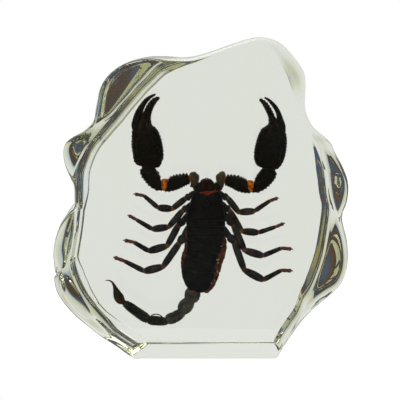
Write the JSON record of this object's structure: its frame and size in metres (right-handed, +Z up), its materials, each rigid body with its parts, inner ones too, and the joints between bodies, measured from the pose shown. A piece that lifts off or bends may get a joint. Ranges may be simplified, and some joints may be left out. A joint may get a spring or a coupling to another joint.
{
  "type": "scorpion in resin block",
  "caption": "Clear cast resin block with a wavy polished rim and a dried scorpion sealed inside, back to the front face. Stands upright on a flat base.",
  "frame": {"origin": "centre of the bounding box in plan, on the base plane that the block stands on", "axes": "+Z up along the animal from tail to pincers, -Y out of the large front face that the animal's back is turned to, +X to the viewer's right"},
  "size_m": [0.138, 0.034, 0.1515],
  "materials": {
    "resin": "clear, polished",
    "cuticle": "dark brown-black, satin, granular"
  },
  "bodies": {
    "root": {"resin_front": "resin", "resin_back": "resin", "scorpion": "cuticle"}
  },
  "joints": []
}
